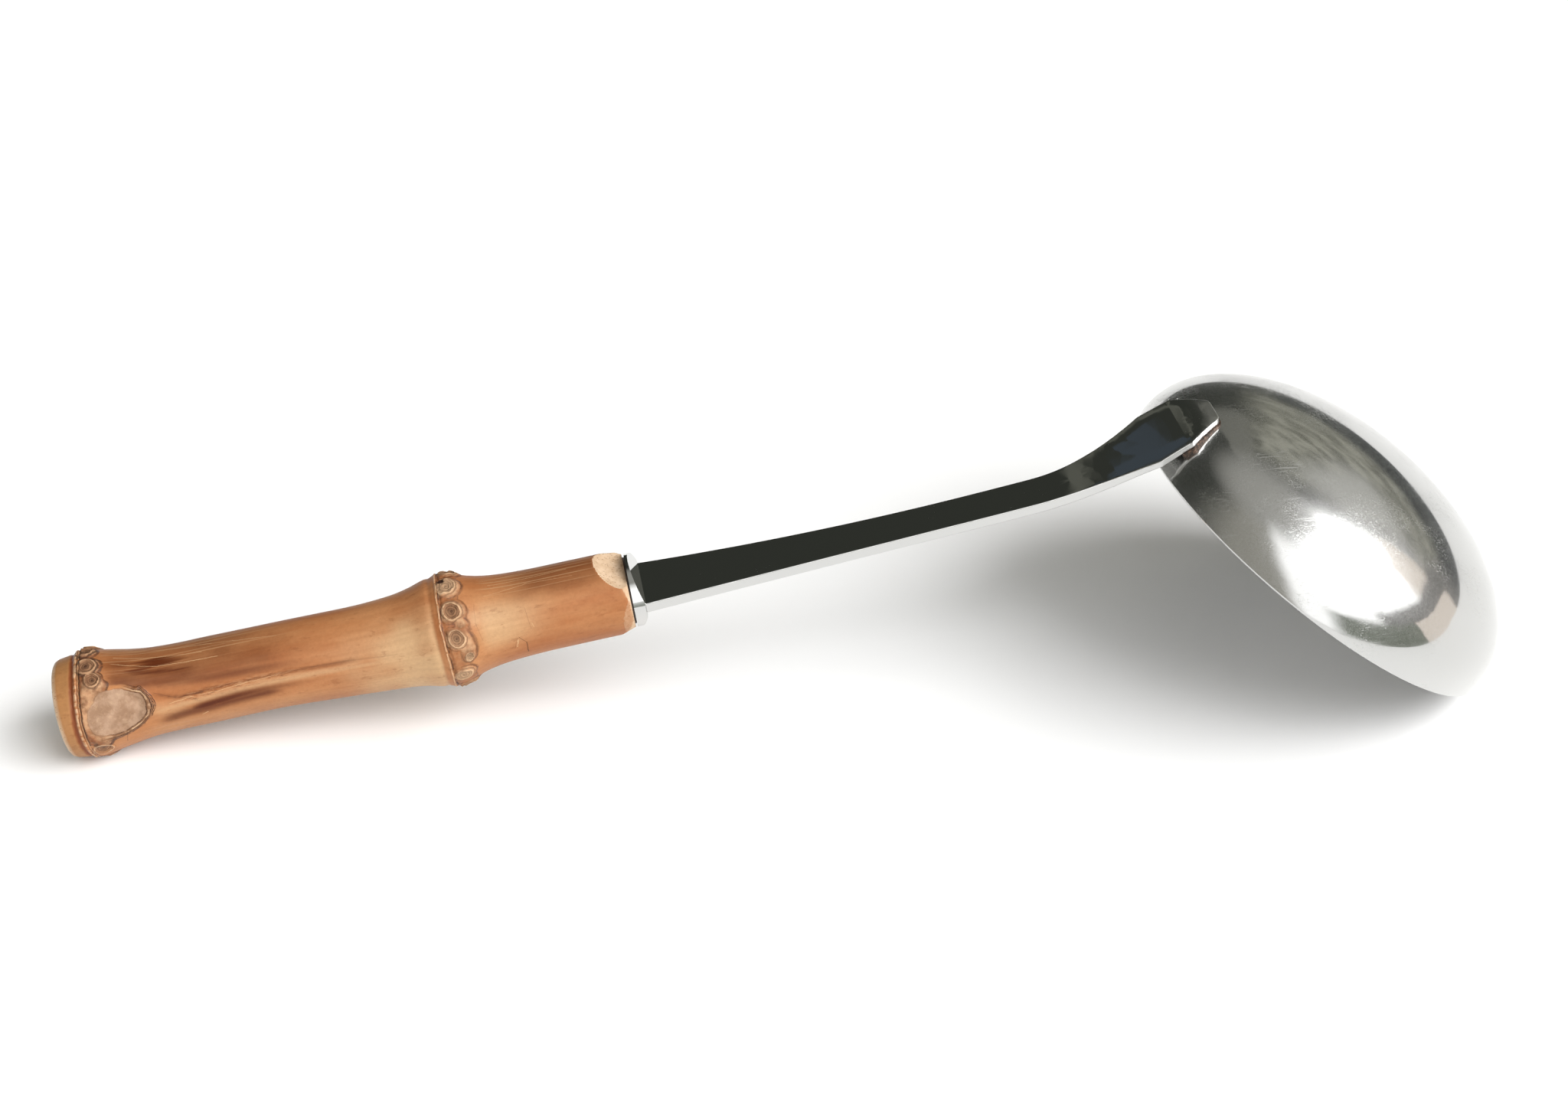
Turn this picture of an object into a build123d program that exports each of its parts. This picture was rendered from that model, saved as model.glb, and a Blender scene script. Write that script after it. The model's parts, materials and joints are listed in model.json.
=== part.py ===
"""Serving ladle with a round steel bowl, a flat steel shank and a bamboo root handle.

Each piece is drawn along the handle: X runs from the butt to the bowl, Z is up on the bowl's back,
and Y = 0 is the plane of symmetry. At the end the whole ladle is laid face down on Z = 0, on the
tip of its rim and on the butt node of its handle.
"""
import os
from math import atan, atan2, cos, degrees, radians, sin, tan

from build123d import *

# Bamboo handle
HANDLE_LENGTH = 115.5
HANDLE_DROP = 0.5
BUTT_BAND_LENGTH = 3.7
BUTT_BAND_RADIUS = 10.1
BUTT_EDGE_ROUND = 1.2
RING_GROOVE_WIDTH = 0.9
RING_GROOVE_DEPTH = 0.35
BUTT_NODE_AT = 6.2
BUTT_NODE_RADIUS = 10.85
BUTT_NODE_FALL = 17.0
BUTT_NODE_FALL_PULL = 5.0
REAR_WAIST_RADIUS = 8.65
MID_NODE_AT = 78.4
MID_NODE_RADIUS = 11.45
MID_NODE_BELT = 5.6
MID_NODE_RISE = 24.0
MID_NODE_RISE_PULL = 7.6
MID_NODE_FALL = 13.5
MID_NODE_FALL_PULL = 4.1
FRONT_WAIST_RADIUS = 8.57
TOP_FACET_LENGTH = 7.2
BOTTOM_FACET_LENGTH = 4.0
FACET_LEDGE = 0.6

# Tang and its seat in the handle
BORE_RADIUS = 5.0
BORE_DEPTH = 58.0
CEMENT_CLEARANCE = 0.03
TANG_LENGTH = 55.0
TANG_ROOT_WIDTH = 8.4
TANG_TIP_WIDTH = 5.0
GLUE_LINE = 0.4
GLUE_INSET = 0.35

# Bolster
BOLSTER_LENGTH = 2.5
BOLSTER_HALF_WIDTH = 8.5
BOLSTER_HALF_HEIGHT = 7.1
BOLSTER_BEVEL_STEEPNESS = 3.1
SOLDER_GAP = 0.12

# Shank
SHANK_THICKNESS = 2.2
SHANK_ROOT_WIDTH = 15.2
NECK_WIDTH = 9.6
TAPER_LENGTH = 68.5
RUN_LENGTH = 82.0
RUN_BEND_ANGLE = 3.6
NECK_LENGTH = 31.5
NECK_RISE = 10.55
NECK_ANGLE = 21.0
SHANK_EDGE_ROUND = 0.22

# Tongue on the bowl's back
FLARE_LENGTH = 23.0
TONGUE_WIDTH = 17.9
TONGUE_KINK_WIDTH = 17.2
TONGUE_TIP_WIDTH = 7.4
TONGUE_KINK_ROUND = 1.0
TONGUE_TIP_ROUND = 2.2
TONGUE_THICKNESS = 1.6
TONGUE_KINK_FROM_RIM = 6.9
TONGUE_TIP_FROM_RIM = 13.9
BRAZE_THICKNESS = 0.15
BRAZE_BEAD = 0.3
BRAZE_START_FROM_RIM = 4.6

# Bowl
BOWL_RADIUS = 45.3
BOWL_DOME = 25.4
BOWL_SKIRT = 1.5
BOWL_WALL = 1.2
RIM_ROUND = 0.45
BOWL_ANGLE = 43.7

# Share of a quarter round's radius by which a curve's two handles are pulled to follow it
QUARTER_ROUND_PULL = 0.5523

# Stations along the handle and the shank
glue_front = HANDLE_LENGTH + GLUE_LINE
bolster_front = glue_front + BOLSTER_LENGTH
tang_end = glue_front - TANG_LENGTH
half_thickness = SHANK_THICKNESS / 2
run_radius = RUN_LENGTH / radians(RUN_BEND_ANGLE)
run_direction = (cos(radians(RUN_BEND_ANGLE)), sin(radians(RUN_BEND_ANGLE)))
neck_direction = (cos(radians(NECK_ANGLE)), sin(radians(NECK_ANGLE)))


def run_end(height):
    """Point where the gently bent run ends, for the fibre that starts at this height."""
    radius = run_radius - height
    return (bolster_front + radius * run_direction[1], run_radius - radius * run_direction[0])


# Place of the bowl: the tongue's underside lands on the dome where the dome has the neck's slope
def dome_angle_of_slope(offset):
    """Angle round the dome's outline, from its heel, where the offset outline has the neck's slope."""
    slope = tan(radians(NECK_ANGLE + BOWL_ANGLE))
    return atan((BOWL_DOME + offset) / ((BOWL_RADIUS + offset) * slope))


rim_direction = (cos(radians(BOWL_ANGLE)), -sin(radians(BOWL_ANGLE)))
dome_direction = (sin(radians(BOWL_ANGLE)), cos(radians(BOWL_ANGLE)))


def from_dome_centre(angle, offset):
    """Step from the dome's centre to its outline, offset outwards, at an angle from the heel."""
    along = -(BOWL_RADIUS + offset) * cos(angle)
    out = (BOWL_DOME + offset) * sin(angle)
    return (
        along * rim_direction[0] + out * dome_direction[0],
        along * rim_direction[1] + out * dome_direction[1],
    )


underside_end = run_end(-half_thickness)
landing = (underside_end[0] + NECK_LENGTH, underside_end[1] + NECK_RISE)
landing_step = from_dome_centre(dome_angle_of_slope(BRAZE_THICKNESS), BRAZE_THICKNESS)
dome_centre = (landing[0] - landing_step[0], landing[1] - landing_step[1])
rim_centre = (
    dome_centre[0] - BOWL_SKIRT * dome_direction[0],
    dome_centre[1] - BOWL_SKIRT * dome_direction[1],
)
rim_heel = (
    rim_centre[0] - BOWL_RADIUS * rim_direction[0],
    rim_centre[1] - BOWL_RADIUS * rim_direction[1],
)
rim_tip = (
    rim_centre[0] + BOWL_RADIUS * rim_direction[0],
    rim_centre[1] + BOWL_RADIUS * rim_direction[1],
)
tongue_tip = rim_heel[0] + TONGUE_TIP_FROM_RIM
reach = BOWL_RADIUS + BOWL_DOME


def side_solid(edges, half_width):
    """Solid of a side outline, drawn in X and Z, with the same width on both sides of Y = 0."""
    return extrude(Plane.XZ * make_face(edges), half_width, both=True)


def mirrored_plan(half_edges, low, high):
    """Upright solid of a plan outline, given by its half on the +Y side from end to end."""
    other_half = [mirror(edge, about=Plane.XZ) for edge in half_edges]
    return extrude(Pos(0, 0, low) * make_face(half_edges + other_half), high - low)


def bamboo_handle():
    """Bamboo root: turned butt, two swollen nodes, a bore for the tang and flats at the bolster."""
    groove_middle = BUTT_BAND_LENGTH + RING_GROOVE_WIDTH / 2
    groove_end = BUTT_BAND_LENGTH + RING_GROOVE_WIDTH
    belt_start = MID_NODE_AT - MID_NODE_BELT / 2
    belt_end = MID_NODE_AT + MID_NODE_BELT / 2
    butt_fall_end = BUTT_NODE_AT + BUTT_NODE_FALL
    rise_start = belt_start - MID_NODE_RISE
    fall_end = belt_end + MID_NODE_FALL
    outline = [
        Polyline(
            (0, 0),
            (0, BUTT_BAND_RADIUS),
            (BUTT_BAND_LENGTH, BUTT_BAND_RADIUS),
            (groove_middle, BUTT_BAND_RADIUS - RING_GROOVE_DEPTH),
            (groove_end, BUTT_BAND_RADIUS + RING_GROOVE_DEPTH),
        ),
        Bezier(
            (groove_end, BUTT_BAND_RADIUS + RING_GROOVE_DEPTH),
            (groove_end, BUTT_NODE_RADIUS),
            (BUTT_NODE_AT, BUTT_NODE_RADIUS),
        ),
        Bezier(
            (BUTT_NODE_AT, BUTT_NODE_RADIUS),
            (BUTT_NODE_AT + BUTT_NODE_FALL_PULL, BUTT_NODE_RADIUS),
            (BUTT_NODE_AT + BUTT_NODE_FALL_PULL, REAR_WAIST_RADIUS),
            (butt_fall_end, REAR_WAIST_RADIUS),
        ),
        Line((butt_fall_end, REAR_WAIST_RADIUS), (rise_start, REAR_WAIST_RADIUS)),
        Bezier(
            (rise_start, REAR_WAIST_RADIUS),
            (belt_start - MID_NODE_RISE_PULL, REAR_WAIST_RADIUS),
            (belt_start, MID_NODE_RADIUS - RING_GROOVE_DEPTH),
        ),
        Polyline(
            (belt_start, MID_NODE_RADIUS - RING_GROOVE_DEPTH),
            (belt_start + RING_GROOVE_WIDTH, MID_NODE_RADIUS),
            (belt_end, MID_NODE_RADIUS),
        ),
        Bezier(
            (belt_end, MID_NODE_RADIUS),
            (belt_end + MID_NODE_FALL_PULL, FRONT_WAIST_RADIUS),
            (fall_end, FRONT_WAIST_RADIUS),
        ),
        Polyline(
            (fall_end, FRONT_WAIST_RADIUS),
            (HANDLE_LENGTH, FRONT_WAIST_RADIUS),
            (HANDLE_LENGTH, 0),
            (0, 0),
        ),
    ]
    handle = revolve(make_face(outline), Axis.X)
    butt_edge = handle.edges().filter_by(GeomType.CIRCLE).sort_by(Axis.X)[0]
    handle = Pos(0, 0, -HANDLE_DROP) * fillet(butt_edge, BUTT_EDGE_ROUND)

    flat_end = BOLSTER_HALF_HEIGHT - FACET_LEDGE
    for side, length in ((1, TOP_FACET_LENGTH), (-1, BOTTOM_FACET_LENGTH)):
        flat = Polyline(
            (HANDLE_LENGTH - length, side * FRONT_WAIST_RADIUS - HANDLE_DROP),
            (HANDLE_LENGTH, side * flat_end),
            (HANDLE_LENGTH, side * MID_NODE_RADIUS),
            (HANDLE_LENGTH - length, side * MID_NODE_RADIUS),
            close=True,
        )
        handle -= side_solid(flat, MID_NODE_RADIUS)
    bore = Pos(HANDLE_LENGTH - BORE_DEPTH, 0, 0) * extrude(Plane.YZ * Circle(BORE_RADIUS), BORE_DEPTH)
    return handle - bore


def shank_underside():
    """Lower outline of the shank in front of the bolster, from the bolster to the tongue's tip."""
    start = (bolster_front, -half_thickness)
    bend = JernArc(start, (1, 0), run_radius + half_thickness, RUN_BEND_ANGLE)
    neck = Spline(bend @ 1, landing, tangents=[run_direction, neck_direction])
    return [bend, neck, tongue_curve(BRAZE_THICKNESS)]


def shank_top():
    """Upper outline of the shank in front of the bolster, from the bolster to the tongue's tip."""
    offset = BRAZE_THICKNESS + TONGUE_THICKNESS
    start = (bolster_front, half_thickness)
    bend = JernArc(start, (1, 0), run_radius - half_thickness, RUN_BEND_ANGLE)
    tongue = tongue_curve(offset)
    neck = Spline(bend @ 1, tongue @ 0, tangents=[run_direction, neck_direction])
    return [bend, neck, tongue]


def tongue_curve(offset):
    """Outline of the dome, offset outwards, from where the tongue lands to past the tongue's tip."""
    heel_to_landing = degrees(dome_angle_of_slope(offset))
    return EllipticalCenterArc(
        dome_centre,
        BOWL_RADIUS + offset,
        BOWL_DOME + offset,
        180 - heel_to_landing,
        arc_size=heel_to_landing - 90,
        rotation=-BOWL_ANGLE,
    )


def tongue_plan(margin, start):
    """Half plan outline of the tongue from a start on its side to its tip, widened by a margin."""
    rim_corner = (rim_heel[0], TONGUE_WIDTH / 2 + margin)
    kink = (rim_heel[0] + TONGUE_KINK_FROM_RIM, TONGUE_KINK_WIDTH / 2 + margin)
    share = start / TONGUE_KINK_FROM_RIM
    return FilletPolyline(
        (rim_corner[0] + start, rim_corner[1] + share * (kink[1] - rim_corner[1])),
        kink,
        (tongue_tip + margin, TONGUE_TIP_WIDTH / 2 + margin),
        (tongue_tip + margin, 0),
        radius=[TONGUE_KINK_ROUND, TONGUE_TIP_ROUND],
    )


def shank():
    """Flat bar: tang, tapering run, raised neck, and the tongue that lies on the bowl's back."""
    top = shank_top()
    underside = shank_underside()
    ends = [
        Polyline(
            underside[0] @ 0,
            (tang_end, -half_thickness),
            (tang_end, half_thickness),
            top[0] @ 0,
        ),
        Line(top[-1] @ 1, underside[-1] @ 1),
    ]
    side = side_solid(top + underside + ends, SHANK_ROOT_WIDTH)

    neck_start = (bolster_front + TAPER_LENGTH, NECK_WIDTH / 2)
    neck_end = (rim_heel[0] - FLARE_LENGTH, NECK_WIDTH / 2)
    root_corner = (bolster_front, SHANK_ROOT_WIDTH / 2)
    tongue = tongue_plan(0, 0)
    plan = [
        Polyline(
            (tang_end, 0),
            (tang_end, TANG_TIP_WIDTH / 2),
            (glue_front, TANG_ROOT_WIDTH / 2),
            (glue_front, SHANK_ROOT_WIDTH / 2),
            root_corner,
        ),
        TangentArc(neck_start, root_corner, tangent=(-1, 0)),
        Line(neck_start, neck_end),
        TangentArc(neck_end, tongue @ 0, tangent=(1, 0)),
        tongue,
    ]
    bar = side & mirrored_plan(plan, -reach, reach)
    long_edges = [
        edge
        for edge in bar.edges()
        if edge.center().X > bolster_front and edge.bounding_box().size.X > SHANK_EDGE_ROUND
    ]
    return fillet(long_edges, SHANK_EDGE_ROUND)


def oval(half_width, half_height, start, length):
    """Oval disc square to the handle, from a station along it."""
    return Pos(start, 0, 0) * extrude(Plane.YZ * Ellipse(half_width, half_height), length)


def bar_slot(gap):
    """Rectangular prism round the bar inside the bolster, with a gap all round."""
    width = SHANK_ROOT_WIDTH + 2 * gap
    height = SHANK_THICKNESS + 2 * gap
    return Pos(glue_front, 0, 0) * extrude(Plane.YZ * Rectangle(width, height), BOLSTER_LENGTH)


def bolster():
    """Oval collar whose front is bevelled back from the bar to its rim on all four sides."""
    collar = oval(BOLSTER_HALF_WIDTH, BOLSTER_HALF_HEIGHT, glue_front, BOLSTER_LENGTH)
    start_z = half_thickness + SOLDER_GAP
    start_y = SHANK_ROOT_WIDTH / 2 + SOLDER_GAP
    outer = BOLSTER_HALF_WIDTH + BOLSTER_LENGTH
    for plane, start in ((Plane.XZ, start_z), (Plane.XY, start_y)):
        run_back = (outer - start) / BOLSTER_BEVEL_STEEPNESS
        for side in (1, -1):
            bevel = Polyline(
                (bolster_front, side * start),
                (bolster_front, side * outer),
                (bolster_front - run_back, side * outer),
                close=True,
            )
            collar -= extrude(plane * make_face(bevel), outer, both=True)
    return collar - bar_slot(SOLDER_GAP)


def bolster_solder():
    """Solder that fills the bolster's slot round the bar."""
    return bar_slot(SOLDER_GAP) - bar_slot(0)


def tang_cement(bar):
    """Resin round the tang, with the thin film that is squeezed out behind the bolster."""
    plug_start = HANDLE_LENGTH - BORE_DEPTH + CEMENT_CLEARANCE
    plug_circle = Plane.YZ * Circle(BORE_RADIUS - CEMENT_CLEARANCE)
    plug = Pos(plug_start, 0, 0) * extrude(plug_circle, HANDLE_LENGTH - plug_start)
    film_width = BOLSTER_HALF_WIDTH - GLUE_INSET
    film_height = BOLSTER_HALF_HEIGHT - FACET_LEDGE - GLUE_INSET
    return plug + oval(film_width, film_height, HANDLE_LENGTH, GLUE_LINE) - bar


def bowl_place():
    """Place of the bowl: its rim's centre, with the dome's axis as its own Z."""
    return Pos(rim_centre[0], 0, rim_centre[1]) * Rot(0, BOWL_ANGLE, 0)


def dome_outline(inset):
    """Skirt and dome of the bowl from rim to crown, moved inwards by an inset, in the bowl's own place."""
    radius = BOWL_RADIUS - inset
    dome = BOWL_DOME - inset
    return [
        Line((radius, 0), (radius, BOWL_SKIRT)),
        Bezier(
            (radius, BOWL_SKIRT),
            (radius, BOWL_SKIRT + QUARTER_ROUND_PULL * dome),
            (QUARTER_ROUND_PULL * radius, BOWL_SKIRT + dome),
            (0, BOWL_SKIRT + dome),
        ),
    ]


def filled_bowl():
    """Everything inside the bowl's outer face, in the bowl's own place."""
    outer = dome_outline(0)
    core = make_face(outer + [Polyline(outer[1] @ 1, (0, 0), outer[0] @ 0)])
    return revolve(Plane.XZ * core, Axis.Z)


def bowl():
    """Round pressed bowl of even wall, with a short upright skirt and a rounded rim."""
    outer = dome_outline(0)
    inner = dome_outline(BOWL_WALL)
    ends = [Line(outer[0] @ 0, inner[0] @ 0), Line(outer[1] @ 1, inner[1] @ 1)]
    wall = make_face(outer + inner + ends)
    wall = fillet(wall.vertices().group_by(Axis.Y)[0], RIM_ROUND)
    return bowl_place() * revolve(Plane.XZ * wall, Axis.Z)


def braze_seam():
    """Filler between the tongue and the round back of the bowl, with a bead past the tongue's edge."""
    tongue = tongue_plan(BRAZE_BEAD, BRAZE_START_FROM_RIM)
    start = tongue @ 0
    block = mirrored_plan([Line((start.X, 0), start), tongue], rim_heel[1], rim_heel[1] + BOWL_DOME)
    underside = shank_underside()
    crown = underside[-1] @ 1
    above = Polyline(crown, (crown.X, reach), (bolster_front, reach), underside[0] @ 0)
    return block - side_solid(underside + [above], reach) - bowl_place() * filled_bowl()


# The ladle lies on the tip of its rim and on the lowest point of the butt node
butt_node_low = -HANDLE_DROP - BUTT_NODE_RADIUS
rest_angle = degrees(atan2(butt_node_low - rim_tip[1], rim_tip[0] - BUTT_NODE_AT))
bar = shank()
pieces = {
    "bowl": bowl(),
    "shank": bar,
    "bolster": bolster(),
    "bolster_solder": bolster_solder(),
    "braze_seam": braze_seam(),
    "bamboo_handle": bamboo_handle(),
    "tang_cement": tang_cement(bar),
}
laid_down = {name: Rot(0, -rest_angle, 0) * piece for name, piece in pieces.items()}
box = Compound(children=[Part() + piece for piece in laid_down.values()]).bounding_box()
to_table = Pos(-box.center().X, 0, -box.min.Z)

os.makedirs("parts", exist_ok=True)
for name, piece in laid_down.items():
    export_step(to_table * piece, f"parts/{name}.step")
print(f"length {box.size.X:.1f}, width {box.size.Y:.1f}, height {box.size.Z:.1f} mm")
print(f"rest angle {rest_angle:.3f} degrees, shift {to_table.position.X:.3f}, {to_table.position.Z:.3f}")
print(f"rim heel {rim_heel[0]:.3f}, {rim_heel[1]:.3f}")
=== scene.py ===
# %% [markdown]
# # A serving ladle with a bamboo handle
# The ladle lies face down on a white table. Its bowl and flat bar are polished
# steel, and its handle is one length of bamboo root with two knotty nodes.
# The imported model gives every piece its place. This lesson adds what a plain
# model lacks: the carved skin of the bamboo, a spun bowl that mirrors the room,
# and a finish for each metal, filler and cement.

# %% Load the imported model
import json
from math import asin, cos, pi, radians, sin

import bpy
import numpy as np
from mathutils import Matrix

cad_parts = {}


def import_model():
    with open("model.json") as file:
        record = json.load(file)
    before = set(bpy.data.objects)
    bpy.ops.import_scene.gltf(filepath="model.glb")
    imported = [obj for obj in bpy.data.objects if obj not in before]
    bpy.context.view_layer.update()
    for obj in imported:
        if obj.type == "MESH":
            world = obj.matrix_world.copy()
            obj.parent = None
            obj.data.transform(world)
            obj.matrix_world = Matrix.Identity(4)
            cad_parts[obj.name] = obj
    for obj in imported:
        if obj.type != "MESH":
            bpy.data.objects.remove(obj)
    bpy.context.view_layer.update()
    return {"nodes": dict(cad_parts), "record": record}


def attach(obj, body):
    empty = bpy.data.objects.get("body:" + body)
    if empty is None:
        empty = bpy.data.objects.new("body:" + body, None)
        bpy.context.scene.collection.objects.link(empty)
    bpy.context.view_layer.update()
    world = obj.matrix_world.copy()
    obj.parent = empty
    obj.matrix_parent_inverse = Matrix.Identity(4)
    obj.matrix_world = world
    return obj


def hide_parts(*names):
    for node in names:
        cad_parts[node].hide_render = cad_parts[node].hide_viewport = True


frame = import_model()
MM = 0.001
print("pieces from the packed model:", sorted(frame["nodes"]))

# %% [markdown]
# ## The camera
# The picture is taken from the handle's near side, looking down at 33 degrees
# and a little from the left, with the camera leaning about one degree. A short
# telephoto lens keeps the long ladle from looking stretched.

# %% Camera
CAMERA_AT = (-77.03, -424.61, 316.50)
LOOK_DOWN = radians(33.126)
LOOK_ROUND = radians(9.883)
CAMERA_LEAN = radians(1.144)
LENS = 58.01

camera = bpy.data.objects.new("camera", bpy.data.cameras.new("camera"))
bpy.context.scene.collection.objects.link(camera)
camera.data.lens = LENS
camera.data.clip_start = 0.01
camera.matrix_world = (Matrix.Translation([c * MM for c in CAMERA_AT])
                       @ Matrix.Rotation(-LOOK_ROUND, 4, "Z")
                       @ Matrix.Rotation(pi / 2 - LOOK_DOWN, 4, "X")
                       @ Matrix.Rotation(CAMERA_LEAN, 4, "Z"))
bpy.context.scene.camera = camera
bpy.context.scene.view_settings.view_transform = "Standard"
print("camera at", [round(c) for c in CAMERA_AT], "mm")

# %% [markdown]
# ## Helpers for materials
# A material is a tree of nodes. Adding nodes by hand in the shader editor takes
# many clicks, so each of these helpers adds one node and joins its inputs to
# values or to other nodes' outputs.

# %% Add and join nodes
def join(tree, value, socket):
    if isinstance(value, bpy.types.NodeSocket):
        tree.links.new(value, socket)
    else:
        socket.default_value = value


def fill(tree, node, inputs):
    """Fills inputs, given by name or number, with values or outputs."""
    for name, value in inputs.items():
        join(tree, value, node.inputs[name])


def put(tree, kind, inputs=None, **settings):
    made = tree.nodes.new("ShaderNode" + kind)
    for name, value in settings.items():
        setattr(made, name, value)
    fill(tree, made, inputs or {})
    return made


def new_material(name):
    material = bpy.data.materials.new(name)
    material.use_nodes = True
    tree = material.node_tree
    return material, tree, tree.nodes["Principled BSDF"]


def dress(piece, material):
    piece.data.materials.clear()
    piece.data.materials.append(material)


# %% [markdown]
# ## The table
# A wide white sheet. It is lit to white by the same light as the ladle, so the
# ladle's soft shadow stays on it and the steel mirrors it as a white band. A
# modelling operator works on whatever is selected, so the table, as every piece
# after it, starts from an empty selection.

# %% Table
TABLE_SIZE = 12.0
NEAR_EDGE = -0.17


def clear_selection():
    if bpy.context.object and bpy.context.object.mode != "OBJECT":
        bpy.ops.object.mode_set(mode="OBJECT")
    bpy.ops.object.select_all(action="DESELECT")


def srgb(red, green, blue):
    """A paint colour from 0 to 255, as the linear colour that nodes use."""
    channels = (value / 255 for value in (red, green, blue))
    linear = [c / 12.92 if c < 0.04045 else ((c + 0.055) / 1.055) ** 2.4 for c in channels]
    return (*linear, 1.0)


clear_selection()
bpy.ops.mesh.primitive_plane_add(size=TABLE_SIZE, location=(0, NEAR_EDGE + TABLE_SIZE / 2, 0))
bpy.ops.object.transform_apply(location=True)
table = bpy.context.object
table.name = "table"
paper, tree, surface = new_material("table_white")
fill(tree, surface, {"Base Color": srgb(247, 247, 247), "Roughness": 1.0,
                     "Specular IOR Level": 0.0})
dress(table, paper)
print("table", TABLE_SIZE, "m wide")

# %% [markdown]
# ## The room and its window
# Polished steel has hardly a colour of its own: it shows what stands round it.
# The ladle was in a dim room, with one wide window on the near right. A picture
# of a room could be wrapped round the scene, but a few soft shapes do as well
# and need no file. So the world is painted by direction: heading is counted from
# the near side to the right, height from the table up. A little noise in both
# keeps the shapes from having straight edges.

# %% Helpers for values and colours
def calc(tree, operation, first, second=0.0):
    return put(tree, "Math", {0: first, 1: second}, operation=operation).outputs[0]


def ramp(tree, value, low, high, start=0.0, end=1.0):
    """Goes smoothly from start to end while a value goes from low to high."""
    return put(tree, "MapRange", {0: value, 1: low, 2: high, 3: start, 4: end},
               interpolation_type="SMOOTHSTEP").outputs[0]


def mix(tree, share, first, second, blend="MIX"):
    return put(tree, "Mix", {0: share, 6: first, 7: second}, data_type="RGBA",
               blend_type=blend).outputs[2]


def noise(tree, where, scale, detail=2.0, rough=0.5):
    return put(tree, "TexNoise", {"Vector": where, "Scale": scale, "Detail": detail,
                                  "Roughness": rough}).outputs[0]


def stretch(tree, where, scale):
    return put(tree, "VectorMath", {0: where, 1: scale}, operation="MULTIPLY").outputs[0]


def grey(tree, value):
    return put(tree, "CombineXYZ", {0: value, 1: value, 2: value}).outputs[0]


# %% Directions in the room
world = bpy.data.worlds.new("room")
bpy.context.scene.world = world
world.use_nodes = True
tree = world.node_tree
direction = put(tree, "TexCoord").outputs["Generated"]
wobble = calc(tree, "SUBTRACT", noise(tree, direction, 5.0, 4.0, 0.6), 0.5)
leaves = noise(tree, stretch(tree, direction, (1.0, 1.0, 2.5)), 9.0, 5.0, 0.65)
right, back, up = put(tree, "SeparateXYZ", {0: direction}).outputs
heading = calc(tree, "ARCTAN2", right, calc(tree, "MULTIPLY", back, -1.0))
heading = calc(tree, "ADD", heading, calc(tree, "MULTIPLY", wobble, 0.16))
height = calc(tree, "ADD", calc(tree, "ARCSINE", up), calc(tree, "MULTIPLY", wobble, 0.12))


def between(value, start, full, full_end, end):
    """A soft window on a value, given by four angles in degrees."""
    rise = ramp(tree, value, radians(start), radians(full))
    return calc(tree, "MULTIPLY", rise, ramp(tree, value, radians(end), radians(full_end)))


def extent(headings, heights):
    return calc(tree, "MULTIPLY", between(heading, *headings), between(height, *heights))


def furnish(room, things):
    """Stands things in the room: each has a colour, four headings and four heights."""
    for colour, headings, heights in things:
        room = mix(tree, extent(headings, heights), room, colour)
    return room


# %% [markdown]
# Indoors there are a wall beside the window, walls and a pane at the far side,
# and a pale ceiling. They give the bar and its neck their soft, dark shapes.

# %% Indoors
DARK_ROOM = (0.040, 0.043, 0.036, 1.0)
WALL_BY_WINDOW = (0.35, 0.34, 0.30, 1.0)
FAR_WALL, FAR_PANE = (0.125, 0.128, 0.107, 1.0), (0.060, 0.074, 0.088, 1.0)
BACK_WALL = (0.20, 0.20, 0.175, 1.0)
HEDGE_DARK, HEDGE_LIGHT = (0.17, 0.17, 0.135, 1.0), (0.46, 0.455, 0.38, 1.0)
CEILING = (0.40, 0.395, 0.365, 1.0)

hedge = mix(tree, ramp(tree, leaves, 0.40, 0.62), HEDGE_DARK, HEDGE_LIGHT)
room = furnish(DARK_ROOM, [
    (WALL_BY_WINDOW, (-105, -60, -20, 0), (-60, -50, 60, 85)),
    (FAR_WALL, (-169.5, -167.5, -166, -162), (4, 10, 40, 46)),
    (FAR_PANE, (-158.4, -157.0, -150, -128), (4, 10, 40, 46)),
    (BACK_WALL, (150, 158, 173, 177), (27, 34, 62, 74)),
    (hedge, (108, 124, 146, 160), (-60, -50, 46, 70))])
room = mix(tree, ramp(tree, up, 0.82, 0.99), room, CEILING)
print("world has", len(tree.nodes), "nodes indoors")

# %% [markdown]
# The window gives the light and is brightest in its middle. Low in front of it
# stand the things that the bowl mirrors as a grey and green rim.

# %% Window and outdoors
WINDOW_EDGE, WINDOW_CORE = 1.7, 8.0
TREE_GREY, TREE_SHADE = (0.56, 0.555, 0.52, 1.0), (0.020, 0.026, 0.026, 1.0)
GREENERY = (0.150, 0.172, 0.125, 1.0)
ROOF_GREY = (0.17, 0.165, 0.155, 1.0)
PALE_WALL = (0.95, 0.84, 0.74, 1.0)
GROUND = (-20, -10)

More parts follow.
